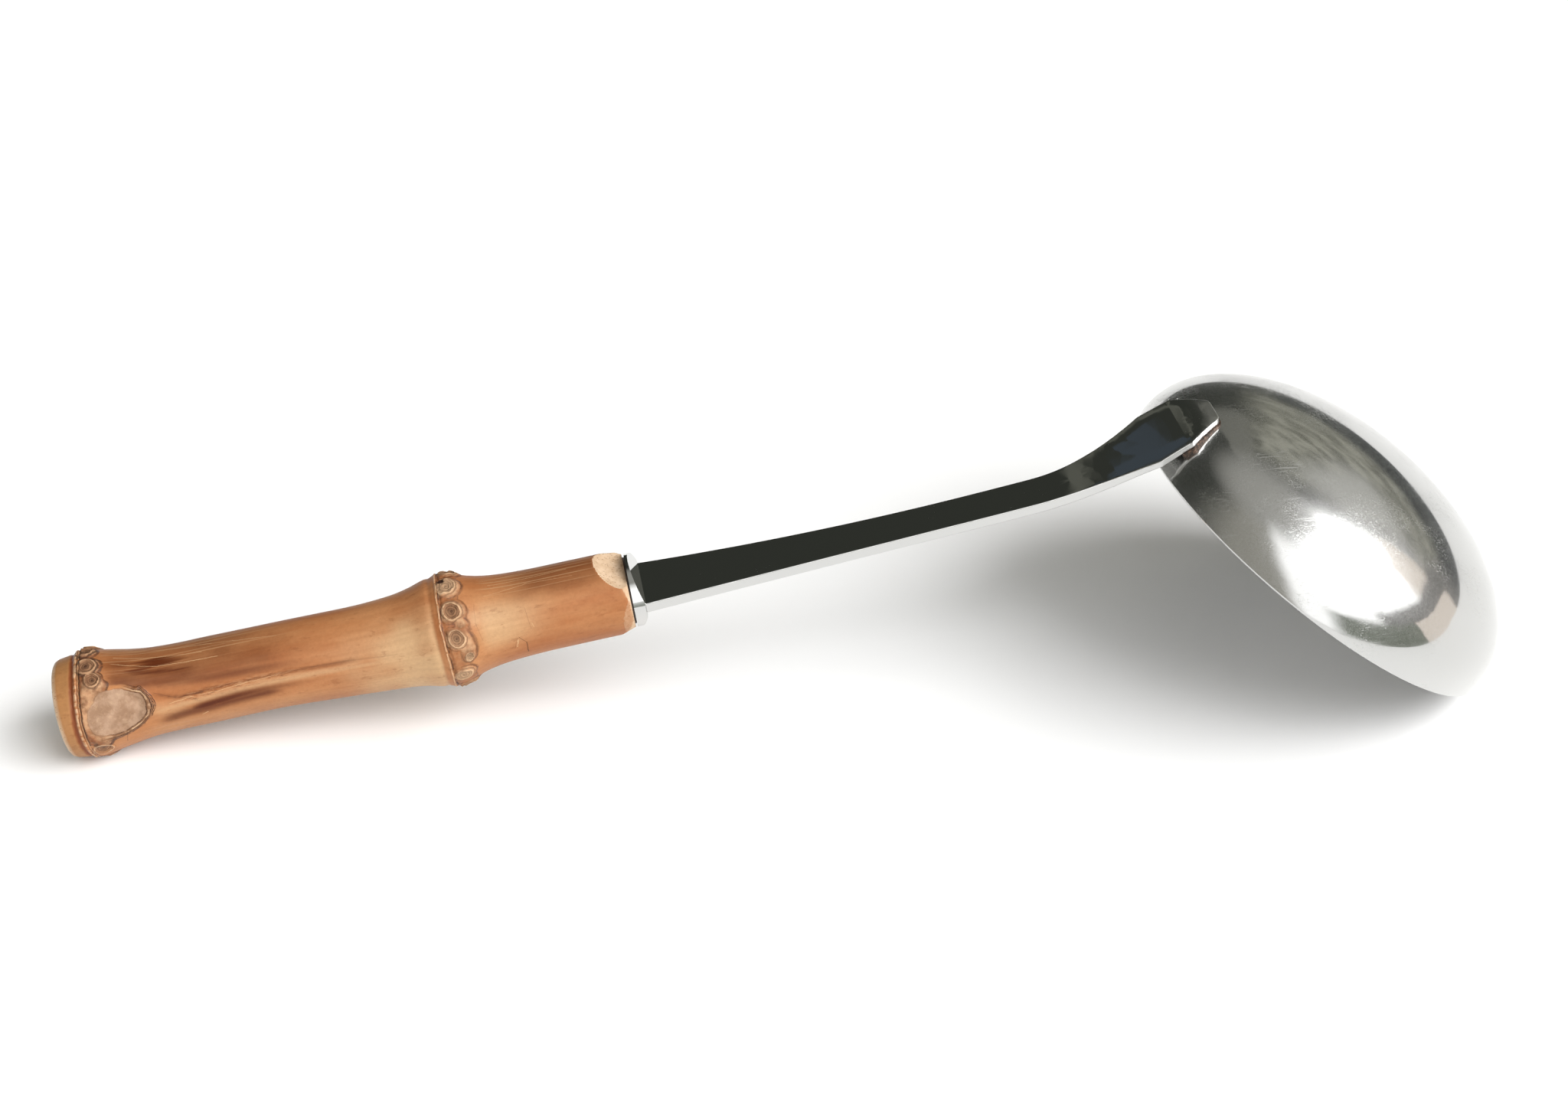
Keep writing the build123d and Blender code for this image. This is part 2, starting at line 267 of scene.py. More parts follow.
core = extent((6, 28, 81, 98), (20, 33, 54, 68))
glare = grey(tree, ramp(tree, core, 0.0, 1.0, WINDOW_EDGE, WINDOW_CORE))
room = furnish(room, [
    (glare, (-37, -20, 82, 112), (*GROUND, 50, 76)),
    (PALE_WALL, (76, 84, 98, 100), (14, 17, 30, 40)),
    (TREE_GREY, (97, 108, 122, 136), (12, 24, 40, 62)),
    (hedge, (94, 101, 146, 160), (*GROUND, 14, 27)),
    (TREE_SHADE, (97, 103, 150, 160), (*GROUND, 6, 12)),
    (ROOF_GREY, (30, 40, 100, 110), (*GROUND, 15, 19)),
    (PALE_WALL, (60, 62, 96, 99), (*GROUND, 8, 9)),
    (GREENERY, (-12, 6, 60, 62), (*GROUND, 5, 11))])
print("window light from", WINDOW_EDGE, "to", WINDOW_CORE)

# %% [markdown]
# The camera itself sees plain white past the table's edge, because the ladle
# stands alone in its picture.

# %% What the camera sees past the table
sky = tree.nodes["Background"]
join(tree, room, sky.inputs["Color"])
plain = put(tree, "Background", {"Color": (1, 1, 1, 1), "Strength": 1.0})
seen = put(tree, "LightPath").outputs["Is Camera Ray"]
shown = put(tree, "MixShader", {0: seen, 1: sky.outputs[0], 2: plain.outputs[0]})
join(tree, shown.outputs[0], tree.nodes["World Output"].inputs["Surface"])
print("world has", len(tree.nodes), "nodes")

# %% [markdown]
# ## Hairlines in polished steel
# Years of wiping leave fine scratches in polished steel. Each one is far
# thinner than a hair, and together they spread the bright reflections into a
# soft glow. Noise that is stretched in one direction and cut at its peaks gives
# such lines. Bowl, bar and collar all have them, so they are a node group.

# %% Node group: hairlines
def new_group(name, vectors, numbers, result):
    """A node group that turns vectors and numbers into one number."""
    group = bpy.data.node_groups.new(name, "ShaderNodeTree")
    sockets = [(label, "INPUT", "Vector") for label in vectors]
    sockets += [(label, "INPUT", "Float") for label in numbers] + [(result, "OUTPUT", "Float")]
    for label, side, kind in sockets:
        group.interface.new_socket(label, in_out=side, socket_type="NodeSocket" + kind)
    return group, group.nodes.new("NodeGroupInput").outputs


def build_hairlines():
    group, given = new_group("hairlines", ["Place"], ["Turn", "Per Metre", "Cut"], "Lines")
    turned = put(group, "VectorRotate", {"Vector": given["Place"], "Axis": (0.3, 0.4, 0.87),
                                         "Angle": given["Turn"]}).outputs[0]
    long = stretch(group, turned, (0.03, 1.0, 1.0))
    lines = noise(group, long, given["Per Metre"], 1.0)
    lines = ramp(group, lines, given["Cut"], calc(group, "ADD", given["Cut"], 0.10))
    patchy = ramp(group, noise(group, given["Place"], 90.0, 2.0), 0.35, 0.65)
    lines = calc(group, "MULTIPLY", lines, patchy)
    fill(group, group.nodes.new("NodeGroupOutput"), {"Lines": lines})
    return group


HAIRLINES = build_hairlines()
print("group", HAIRLINES.name, "with", len(HAIRLINES.nodes), "nodes")

# %% [markdown]
# ## Polished steel
# The steel is a metal with a low roughness. Where a hairline runs, the
# roughness rises and the surface dips a little. The bowl has scratches in many
# directions, the bar mostly along its length. The bowl also has a haze of dull
# spots, too small to see, which lay a blurred mirror image over the sharp one, as
# a worn polish does. The bar's haze level is above all noise, so it has none, but
# its tongue is satin where a mask says so.

# %% Steel finishes
STEEL = (0.64, 0.64, 0.63, 1.0)
HAZE_ROUGHNESS = 0.38
HAZE_PER_METRE, SMEARS_PER_METRE = 24000.0, 45.0
HAIRLINE_DEPTH = 0.000002


def object_coordinates(tree, turn_about_y=0.0):
    where = put(tree, "TexCoord").outputs["Object"]
    return put(tree, "Mapping", {"Vector": where, "Rotation": (0, turn_about_y, 0)}).outputs[0]


def mask(tree, name):
    return put(tree, "Attribute", attribute_name=name).outputs["Fac"]


def polished_steel(name, turns, smooth, haze, per_metre, cut):
    material, tree, surface = new_material(name)
    where = object_coordinates(tree)
    lines = 0.0
    for count, turn in enumerate(turns):
        given = {"Place": where, "Turn": turn, "Per Metre": per_metre * (1 + 0.3 * count),
                 "Cut": cut}
        more = put(tree, "Group", given, node_tree=HAIRLINES).outputs["Lines"]
        lines = calc(tree, "MAXIMUM", more, lines)
    smears = noise(tree, where, SMEARS_PER_METRE, 3.0)
    worn = noise(tree, where, HAZE_PER_METRE, 0.0)
    worn = calc(tree, "ADD", worn, calc(tree, "MULTIPLY", smears, 0.12))
    worn = ramp(tree, worn, haze, haze + 0.08)
    dull = calc(tree, "MAXIMUM", calc(tree, "MAXIMUM", lines, worn), mask(tree, "satin"))
    rough = ramp(tree, smears, 0.3, 0.7, smooth, 1.5 * smooth)
    rough = calc(tree, "MAXIMUM", rough, calc(tree, "MULTIPLY", dull, HAZE_ROUGHNESS))
    bump = put(tree, "Bump", {"Strength": 0.35, "Distance": HAIRLINE_DEPTH, "Height": lines},
               invert=True).outputs[0]
    fill(tree, surface, {"Base Color": STEEL, "Metallic": 1.0, "Roughness": rough,
                         "Normal": bump})
    return material


bowl_steel = polished_steel("polished_bowl_steel", turns=(0.0, 0.7, 1.5, 2.3), smooth=0.06,
                            haze=0.605, per_metre=2600.0, cut=0.60)
bar_steel = polished_steel("polished_bar_steel", turns=(0.0, 0.15, 1.2), smooth=0.05,
                           haze=2.0, per_metre=3000.0, cut=0.72)
print("finishes:", bowl_steel.name, bar_steel.name)

# %% [markdown]
# ## The bowl
# A real bowl is pressed or spun from a flat disc, so it is round about one
# axis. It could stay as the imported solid, but its mesh is made of flat facets.
# A spun chain of points gives an even net of faces instead, which mirrors the
# room without kinks. The chain is drawn as by hand with the E key: a plane is
# merged to one point, and that point is extruded step by step.

# %% Draw and spin a chain
def draw_chain(name, points):
    """Draws a chain of edges through points given in millimetres."""
    clear_selection()
    bpy.ops.mesh.primitive_plane_add(size=MM)
    chain = bpy.context.object
    chain.name = chain.data.name = name
    bpy.ops.object.mode_set(mode="EDIT")
    bpy.ops.mesh.select_mode(type="VERT")
    bpy.ops.mesh.select_all(action="SELECT")
    bpy.ops.mesh.merge(type="CENTER")
    points = np.asarray(points, float) * MM
    bpy.ops.transform.translate(value=tuple(points[0]))
    for move in np.diff(points, axis=0):
        bpy.ops.mesh.extrude_region_move(TRANSFORM_OT_translate={"value": tuple(move)})
    return chain


def spin_chain(chain, axis, steps):
    """Turns the chain once round an axis through the origin and closes it."""
    bpy.ops.mesh.select_all(action="SELECT")
    bpy.ops.mesh.spin(steps=steps, angle=2 * pi, center=(0, 0, 0), axis=axis)
    bpy.ops.mesh.select_all(action="SELECT")
    bpy.ops.mesh.remove_doubles(threshold=0.002 * MM)
    bpy.ops.mesh.normals_make_consistent(inside=False)
    bpy.ops.object.mode_set(mode="OBJECT")
    print(chain.name, "has", len(chain.data.polygons), "faces after the spin")


def pick(piece):
    clear_selection()
    piece.select_set(True)
    bpy.context.view_layer.objects.active = piece


def place(piece, turn_about_y, move):
    """Moves a piece to its place and leaves that place in its mesh."""
    pick(piece)
    piece.rotation_euler = (0, turn_about_y, 0)
    piece.location = move
    bpy.ops.object.transform_apply(location=True, rotation=True, scale=True)


# %% [markdown]
# The chain follows the outside of the dome, goes round the rim and comes back
# along the inside.

# %% Bowl
BOWL_RADIUS, BOWL_DOME, BOWL_SKIRT, BOWL_WALL, RIM_ROUND = 45.3, 25.4, 1.5, 1.2, 0.45
RIM_CENTRE = (109.646, 0.0, 26.010)
BOWL_TILT = radians(34.894)
BOWL_STEPS, OUTER_POINTS, INNER_POINTS = 192, 64, 56


def dome(radius, rise, count):
    """A quarter of an ellipse, from the crown down to the skirt."""
    turns = np.linspace(pi / 2, 0, count)
    return [(radius * cos(t), 0, BOWL_SKIRT + rise * sin(t)) for t in turns]


def rim(centre_x, start, end):
    turns = np.linspace(start, end, 5)
    return [(centre_x + RIM_ROUND * cos(t), 0, RIM_ROUND * (1 + sin(t))) for t in turns]


inner_radius = BOWL_RADIUS - BOWL_WALL
wall = dome(BOWL_RADIUS, BOWL_DOME, OUTER_POINTS)
wall += rim(BOWL_RADIUS - RIM_ROUND, 0, -pi / 2)
wall += rim(inner_radius + RIM_ROUND, -pi / 2, -pi)
wall += dome(inner_radius, BOWL_DOME - BOWL_WALL, INNER_POINTS)[::-1]
bowl = draw_chain("spun_bowl", wall)
spin_chain(bowl, (0, 0, 1), BOWL_STEPS)
place(bowl, BOWL_TILT, [c * MM for c in RIM_CENTRE])
bpy.ops.object.shade_smooth()
dress(bowl, bowl_steel)
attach(bowl, "root")
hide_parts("bowl")

# %% [markdown]
# ## Collar and bar
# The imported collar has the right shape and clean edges, so it stays as it is and
# only gets the bar's finish. The bar does need work: a smith rounds the tongue
# where it lies on the bowl, so its top slopes down a little towards its edges.
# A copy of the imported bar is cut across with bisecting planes, to give the
# tongue enough points, and then those near the edge are lowered.

# %% Collar
dress(frame["nodes"]["bolster"], bar_steel)
print("collar wears", bar_steel.name)

# %% Bar cut across
CROWN_START, CROWN_FULL, CROWN_WIDTH, CROWN_DEPTH = 60.0, 70.0, 3.4, 0.34
CUT_STEP, SIDE_CUTS = 0.7, 12


def read_points(piece):
    points = np.empty(len(piece.data.vertices) * 3)
    piece.data.vertices.foreach_get("co", points)
    return points.reshape(-1, 3)


bar = bpy.data.objects.new("flat_bar", frame["nodes"]["shank"].data.copy())
bar.data.name = "flat_bar"
bpy.context.scene.collection.objects.link(bar)
pick(bar)
bpy.ops.mesh.customdata_custom_splitnormals_clear()
bpy.ops.object.mode_set(mode="EDIT")
bpy.ops.mesh.select_all(action="SELECT")
bpy.ops.mesh.remove_doubles(threshold=0.001 * MM)
tip = max(vertex.co.x for vertex in bar.data.vertices) / MM
lengths = np.arange(CROWN_START, tip - CUT_STEP / 2, CUT_STEP)
cuts = [((x, 0, 0), (1, 0, 0)) for x in lengths]
cuts += [((0, y * CUT_STEP, 0), (0, 1, 0)) for y in range(-SIDE_CUTS, SIDE_CUTS + 1)]
for point, across in cuts:
    bpy.ops.mesh.select_all(action="SELECT")
    bpy.ops.mesh.bisect(plane_co=[c * MM for c in point], plane_no=across)
bpy.ops.object.mode_set(mode="OBJECT")
points = read_points(bar) / MM
print("bar cut into", len(bar.data.polygons), "faces")

# %% [markdown]
# At each cut the bar's thickness and half width are measured. A point is then
# lowered by how near it is to the edge and how high it lies in the bar.

# %% Round the tongue
def write_points(piece, points):
    piece.data.vertices.foreach_set("co", np.ascontiguousarray(points).ravel())
    piece.data.update()


low, high, half_width = np.empty((3, len(lengths)))
for count, x in enumerate(lengths):
    cut = points[np.abs(points[:, 0] - x) < 0.01]
    middle = cut[np.abs(cut[:, 1]) < 0.01, 2]
    low[count], high[count] = middle.min(), middle.max()
    half_width[count] = np.abs(cut[:, 1]).max()
x, y, z = points.T
square = 1 / np.hypot(1, np.gradient(half_width, lengths))
from_edge = (np.interp(x, lengths, half_width) - np.abs(y)) * np.interp(x, lengths, square)
from_edge = np.clip(np.minimum(from_edge, tip - x), 0, CROWN_WIDTH)
share = np.clip((z - np.interp(x, lengths, low)) / np.interp(x, lengths, high - low), 0, 1)
begun = np.clip((x - CROWN_START) / (CROWN_FULL - CROWN_START), 0, 1)
points[:, 2] -= CROWN_DEPTH * (1 - from_edge / CROWN_WIDTH) ** 2 * share ** 2 * begun
write_points(bar, points * MM)
print("tongue rounded by", CROWN_DEPTH, "mm")

# %% [markdown]
# The tongue's edge and tip were filed and never polished again, so they are
# satin. Which points these are is kept as a mask for the material.

# %% Satin edge and finish of the bar
SATIN_WIDTH, SATIN_TIP, SATIN_MOST = 1.1, 4.5, 0.75


def write_mask(piece, name, values):
    layer = piece.data.attributes.new(name, "FLOAT", "POINT")
    layer.data.foreach_set("value", values.astype(np.float32))


satin_edge = np.clip(1 - from_edge / SATIN_WIDTH, 0, 1)
satin_tip = SATIN_MOST * np.clip((x - tip) / SATIN_TIP + 1.5, 0, 1)
write_mask(bar, "satin", np.maximum(satin_edge, satin_tip) * begun)
bpy.ops.object.transform_apply(location=True, rotation=True, scale=True)
bpy.ops.object.shade_smooth_by_angle(angle=radians(35))
bpy.ops.object.modifier_add(type="WEIGHTED_NORMAL")
bar.modifiers[-1].keep_sharp = True
bpy.ops.object.modifier_apply(modifier=bar.modifiers[-1].name)
dress(bar, bar_steel)
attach(bar, "root")
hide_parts("shank")
print("tongue is satin within", SATIN_WIDTH, "mm of its edge")

# %% [markdown]
# ## Fillers
# Brown braze holds the tongue on the bowl, a thin line of solder closes the
# collar, and dark resin squeezes out behind it. All three set from a liquid, so
# they are blotchy and a little bumpy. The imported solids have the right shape.

# %% Braze, solder and cement
def filler(name, first, second, metallic, smooth, rough, per_metre, bump_height):
    material, tree, surface = new_material(name)
    blotch = noise(tree, object_coordinates(tree), per_metre, 4.0, 0.6)
    bump = put(tree, "Bump", {"Strength": 0.6, "Distance": bump_height, "Height": blotch})
    fill(tree, surface, {
        "Base Color": mix(tree, ramp(tree, blotch, 0.35, 0.65), first, second),
        "Metallic": metallic,
        "Roughness": ramp(tree, blotch, 0.3, 0.7, smooth, rough),
        "Normal": bump.outputs[0]})
    return material


fillers = {
    "braze_seam": filler("brown_braze", srgb(96, 74, 60), srgb(44, 40, 36),
                         0.5, 0.35, 0.60, 1500.0, 0.0001),
    "bolster_solder": filler("dull_solder", srgb(196, 196, 192), srgb(120, 118, 112),
                             0.9, 0.25, 0.60, 2600.0, 0.00006),
    "tang_cement": filler("dark_cement", srgb(44, 34, 28), srgb(70, 54, 42),
                          0.0, 0.45, 0.75, 1800.0, 0.00008)}
for node, material in fillers.items():
    dress(frame["nodes"][node], material)
print("fillers:", *fillers)

# %% [markdown]
# ## The bamboo handle: turning
# Bamboo root grows in joints. Each node swells out, and the stem between two
# nodes has a waist. The handle starts as a turned shape: its outline from the
# butt to the collar is spun round the stem. The butt is cut off flat, and the
# front end is bored for the tang. The rows of points lie close together where
# there is much to carve, at the nodes and the collar.

# %% Handle outline
HANDLE_LENGTH = 115.5
BORE_RADIUS, BORE_DEPTH = 5.0, 58.0
STEM = [(1.2, 10.05), (3.2, 10.35), (6.2, 10.85), (9.0, 10.3), (12.0, 9.75), (15.0, 9.22),
        (18.0, 8.86), (22.0, 8.68), (30.0, 8.66), (42.0, 8.62), (54.0, 8.86), (60.0, 9.02),
        (66.0, 9.36), (69.0, 9.62), (72.0, 10.15), (75.0, 10.95), (77.8, 11.40), (81.0, 10.92),
        (84.0, 9.92), (87.0, 9.26), (90.0, 8.92), (95.0, 8.65), (104.0, 8.56), (115.5, 8.55)]
BUTT_FACE = [(0.35, 0.0), (0.3, 1.2), (0.1, 2.4), (0.0, 4.0), (0.0, 6.0), (0.0, 7.8),
             (0.0, 8.85), (0.12, 9.3), (0.45, 9.75)]
FRONT_FACE = (7.8, 6.6, BORE_RADIUS)
ROWS = [(1.2, 21, 0.26), (21, 72, 1.2), (72, 86, 0.22), (86, 107, 1.2), (107, 115.3, 0.3)]
HANDLE_STEPS = 360


def smooth_line(stations, points):
    """A smooth curve through points, with slopes taken from their neighbours."""
    xs, ys = np.array(points).T
    slopes = np.gradient(ys, xs)
    at = np.clip(np.searchsorted(xs, stations) - 1, 0, len(xs) - 2)
    span = xs[at + 1] - xs[at]
    t = (stations - xs[at]) / span
    return ((1 + 2 * t) * (1 - t) ** 2 * ys[at] + t * (1 - t) ** 2 * span * slopes[at]
            + t * t * (3 - 2 * t) * ys[at + 1] + t * t * (t - 1) * span * slopes[at + 1])


stations = np.concatenate([np.arange(*row) for row in ROWS] + [[HANDLE_LENGTH]])
outline = [(x, 0, r) for x, r in BUTT_FACE]
outline += list(zip(stations, 0 * stations, smooth_line(stations, STEM)))
outline += [(HANDLE_LENGTH, 0, r) for r in FRONT_FACE]
outline += [(HANDLE_LENGTH - BORE_DEPTH, 0, r) for r in (BORE_RADIUS, 0)]
handle = draw_chain("bamboo_root", outline)
spin_chain(handle, (1, 0, 0), HANDLE_STEPS)

# %% [markdown]
# ## The bamboo handle: carving
# Scars of roots and of a bud, a furrow, cracks and sanded facets can't be made
# with a lathe. A sculptor would push them in with brushes. Here each brush is a
# formula that moves the points of the skin in or out, and leaves a mask behind,
# so that the material knows where a scar or a scorch is. The skin is thought of
# as unrolled: a point has a station, in millimetres from the butt, and an angle
# round the stem, counted from the top towards the viewer.

# %% Unrolled skin
SKIN_RADIUS = 9.4
MASKS = ("scorch", "blond_and_highlight", "crack", "fibre", "lined", "sanded", "end_grain")

skin = read_points(handle) / MM
ALONG = skin[:, 0]
ROUND = np.degrees(np.arctan2(-skin[:, 1], skin[:, 2]))
RADIUS = np.hypot(skin[:, 1], skin[:, 2])
OUTER = (RADIUS > BORE_RADIUS + 1.0).astype(float)
lift = np.zeros(len(skin))
masks = {name: np.zeros(len(skin)) for name in MASKS}
print("skin with", len(skin), "points")

# %% Soft edges
def bell(distance, width):
    return np.exp(-(distance / width) ** 2)


def step(value, low, high):
    t = np.clip((value - low) / (high - low), 0, 1)
    return t * t * (3 - 2 * t)


def inside(distance, full, none):
    """1 up to a distance, and nothing past another."""
    return step(-distance, -none, -full)


def after(none, full):
    return step(ALONG, none, full)


def before(full, none):
    return inside(ALONG, full, none)


def about(angle, full, none):
    """1 near an angle round the stem, and nothing further off."""
    return inside(np.abs(ROUND - angle), full, none)


def sides(none, full):
    """Nothing on top, and 1 on the sides and underneath."""
    return step(np.abs(ROUND), none, full)


# %% Brushes
def round_from(angle):
    """How far each point lies round the stem from an angle, in millimetres."""
    return ((ROUND - angle + 180) % 360 - 180) * radians(1) * SKIN_RADIUS


def patch(station, angle, half_length, half_height, turn=0.0):
    """The distance from a patch's middle: 1 on its edge."""
    u, v = ALONG - station, round_from(angle)
    c, s = cos(radians(turn)), sin(radians(turn))
    return np.hypot((u * c + v * s) / half_length, (v * c - u * s) / half_height)


def stroke(points, width, fade=3.0):
    """A lengthwise brush stroke through (station, angle) points."""
    xs, angles = np.array(points, float).T
    ends = after(xs[0] - fade, xs[0] + fade) * before(xs[-1] - fade, xs[-1] + fade)
    return bell(round_from(np.interp(ALONG, xs, angles)), width) * ends


def paint(name, *amounts):
    for amount in amounts:
        masks[name] = np.maximum(masks[name], np.clip(amount, 0, 1) * OUTER)


def wipe(name, amount):
    masks[name] = masks[name] * (1 - np.clip(amount, 0, 1))


# %% [markdown]
# Nothing on bamboo is quite even. Three seeded clouds of noise, from fine to
# broad, make edges ragged, surfaces lumpy and colours uneven.

# %% Clouds
def cloud(length, width, seed):
    """Soft noise from -1 to 1 on the unrolled skin, closed round the stem."""
    cells = max(3, round(2 * pi * SKIN_RADIUS / width))
    rows = int(HANDLE_LENGTH / length) + 3
    grid = np.random.default_rng(seed).uniform(-1, 1, (rows, cells))
    u, v = ALONG / length + 0.5, ROUND / 360 % 1 * cells
    i, j = u.astype(int), v.astype(int) % cells
    fu, fv = step(u - i, 0, 1), step(v - np.floor(v), 0, 1)
    k = (j + 1) % cells
    return ((1 - fu) * ((1 - fv) * grid[i, j] + fv * grid[i, k])
            + fu * ((1 - fv) * grid[i + 1, j] + fv * grid[i + 1, k]))


ragged = cloud(0.7, 0.7, 1)
lumpy = cloud(1.5, 1.5, 5)
uneven = cloud(4.0, 3.0, 2)
print("clouds up to", round(ragged.max(), 2), round(lumpy.max(), 2), round(uneven.max(), 2))

# %% [markdown]
# ### Broad colour of the stem
# The stem was scorched over a flame and then oiled. It is brown along the top,
# with darker streaks near the bud, honey on the side and pale near the middle
# node. A small pale patch right of the middle node is a painted highlight. Fine
# pale lines run along the top.

# %% Scorch
crown = 0.46 + 0.17 * bell(ROUND - 36, 22) + 0.10 * uneven
paint("scorch",
      crown * about(-3, 48, 64) * after(8, 13) * before(30, 67),
      (0.52 + 0.10 * uneven) * about(-4, 26, 64) * after(84, 98),
      inside(patch(21.5, 24, 13.0, 5.0, 3), 0.20, 1.0) * (0.80 + 0.40 * cloud(6, 0.5, 12)),
      0.66 * inside(patch(17.0, 41, 8.5, 2.6, 6), 0.15, 1.0),
      0.75 * np.clip(1 - patch(14, 14, 6, 2.6, 4), 0, 1) ** 0.6,
      stroke([(25.5, 92), (29, 88.5), (35.6, 85), (52, 83.5), (62, 83)], 1.15) * before(30, 60),
      0.75 * stroke([(19.5, 101), (24, 96), (33, 92), (44, 89)], 1.6),
      0.66 * stroke([(14, 30), (21, 45), (31, 52), (45, 56), (58, 60)], 1.7) * before(36, 62),
      0.52 * stroke([(19, 59), (24, 70), (31, 68), (46, 67), (60, 67)], 0.7),
      0.13 * sides(94, 108) * after(14, 20) * before(50, 70),
      0.25 * about(-120, 10, 50) * after(10, 20) * (0.6 + 0.5 * uneven))
print("scorch is", round(masks["scorch"].mean(), 2), "on average")

# %% Pale wood, a painted highlight and fine lines
paint("blond_and_highlight",
      (0.8 + 0.25 * uneven) * after(46, 74) * sides(0, 62) * before(76, 77),
      0.25 * sides(92, 112) * after(12, 20) * before(66, 76),
      0.52 * stroke([(18, 84), (25, 81), (36, 77.5), (52, 75), (66, 76)], 0.9),
      0.42 * stroke([(17.5, 80), (21, 84), (26, 83)], 2.0),
      0.66 * about(62, 10, 50) * after(83, 87) * before(88, 106),
      # The patch right of the middle node is a painted highlight in pale wood's colour.
      0.5 * inside(patch(84.8, 50, 2.2, 2.6), 0.2, 1.2))
paint("lined",
      about(-4, 26, 38) * after(9, 11) * before(30, 52),
      about(-6, 24, 36) * after(85, 88) * before(106, 112))
print("pale wood is", round(masks["blond_and_highlight"].mean(), 2), "on average")

# %% [markdown]
# ### Root scars and the tissue round them
# Small roots grew in a ring round each node. Each left a round scar with a lip,
# on a lump of corky tissue. Distances from such marks are kept with the skin,
# so that the material can draw lines much finer than the mesh. A scar has a
# station, an angle, two half sizes and a darkness. One root grew alone, without
# a lump. The scars on the unseen side repeat the pattern.

# %% Root scars
BUTT_ROOTS = [(7.0, -14, 1.6, 1.4, 1.2), (7.5, 13, 1.7, 1.5, 1.2), (8.5, 31, 1.3, 1.15, 1.1),
              (7.3, 160, 1.5, 1.4, 0.7), (7.5, -168, 1.4, 1.3, 0.8), (7.2, -44, 1.5, 1.4, 0.8),
              (7.7, -75, 1.4, 1.2, 0.6), (7.2, -105, 1.6, 1.4, 0.9), (7.6, -136, 1.4, 1.3, 0.7)]
MIDDLE_ROOTS = [(79.9, 7, 1.9, 1.7, 0.45), (80.4, 38, 1.75, 1.4, 1.0),
                (80.3, 67, 1.6, 1.3, 0.85), (82.0, 90, 0.8, 0.75, 0.4),
                (80.0, 112, 1.7, 1.2, 0.3), (80.3, 145, 1.7, 1.4, 0.9),
                (80.0, 177, 1.8, 1.4, 0.6), (80.2, -26, 1.7, 1.4, 0.8),
                (80.4, -60, 1.8, 1.5, 0.9), (80.0, -94, 1.6, 1.4, 0.5),
                (80.3, -128, 1.8, 1.4, 0.8)]
LONE_ROOT = (7.1, 117, 1.8, 1.5, 0.9)
CORK_PATCHES = [(2.4, 2.2, (8.2, 44, 2.6, 3.6)), (2.4, 2.0, (7.9, 74, 2.6, 5.6)),
                (1.7, 1.6, (82.0, 76, 1.9, 3.4)), (1.4, 1.6, (81.6, 52, 1.9, 1.6))]
FAR = 4.0

roots = BUTT_ROOTS + MIDDLE_ROOTS + [LONE_ROOT]
root_scar, lump = np.full(len(skin), FAR), np.full(len(skin), -FAR)
root_dark = np.zeros(len(skin))
for count, (station, angle, half_length, half_height, darkness) in enumerate(roots):
    scar = patch(station, angle, half_length, half_height, 25 * (count % 3 - 1))
    scar = scar * (1 + 0.10 * lumpy + 0.04 * ragged)
    root_dark = np.where(scar < root_scar, darkness, root_dark)
    root_scar = np.minimum(root_scar, scar)
    if roots[count] is not LONE_ROOT:
        lump = np.maximum(lump, 2.75 - 1.6 * scar)
for high, fall, cork in CORK_PATCHES:
    lump = np.maximum(lump, high - fall * patch(*cork))
lump += 0.35 * lumpy
print(len(roots), "root scars")

# %% Rings, tissue and bud
butt_ring = ALONG - (4.7 + 0.55 * np.cos(np.radians(2 * ROUND - 12)) + 0.10 * ragged)
middle_ring = ALONG - 77.75 - 0.08 * ragged - 0.16 * uneven
bare = step(ROUND, 98, 110) * inside(ROUND, 130, 142)
butt_strip = np.minimum(butt_ring - 0.9, 8.4 + 0.5 * uneven - 5 * bare - ALONG)
middle_strip = np.minimum(middle_ring - 0.3, 82.1 + 0.5 * uneven - ALONG)
behind_ring = np.where(ALONG > 40, middle_ring - 0.3, butt_ring - 0.9)
tissue = np.maximum(np.maximum(butt_strip, middle_strip), np.minimum(lump, behind_ring))
bud_along = (ALONG - 12.1) / 5.75
bud_across = round_from(72) / 4.5
bud_scar = np.hypot(bud_along + 0.09 * bud_across, bud_across * (1 + 0.14 * bud_along))
bud_scar = bud_scar * (1 + 0.05 * lumpy + 0.02 * ragged)
print("points on tissue", int((tissue > 0).sum()), "and on the bud", int((bud_scar < 1).sum()))

# %% [markdown]
# ### Relief
# Now the skin is moved. Tissue stands a little proud, scars dip and have a lip,
# and each node has a sharp ring with a groove beside it. The bud left a shallow
# disc with a doubled lip towards its tip. Where the butt rests on the table,
# all that stands proud is worn down.

# %% Relief of the nodes
on_tissue = step(tissue, -0.15, 0.2)
lump_high = step(lump, 0.0, 1.1) * on_tissue
lift += 0.10 * on_tissue * (1 + ragged) + 0.32 * lump_high * (1 + 0.25 * ragged)
lift += (0.16 * bell(root_scar - 1.0, 0.15)
         - 0.34 * inside(root_scar, 0.55, 0.95) * (0.35 + 0.65 * root_dark)
         + 0.12 * bell(root_scar - 0.45, 0.14))
lift += 0.24 * bell(butt_ring, 0.34) * (1 + 0.5 * ragged) - 0.28 * bell(butt_ring + 0.85, 0.38)
lift += 0.14 * bell(butt_ring - 0.66, 0.18) - 0.14 * bell(butt_ring - 0.42, 0.14)
lift += 0.26 * bell(middle_ring, 0.30) * (1 + 0.5 * ragged)
lift -= 0.22 * bell(middle_ring + 1.5, 0.6)
lift -= 0.30 * bell(middle_ring - 0.6, 0.26) * (1 + 0.6 * ragged)
hole = patch(78.9, -3, 0.75, 0.8)
lift -= 0.5 * inside(hole, 0.6, 1.2)
paint("crack", inside(hole, 0.8, 1.15))
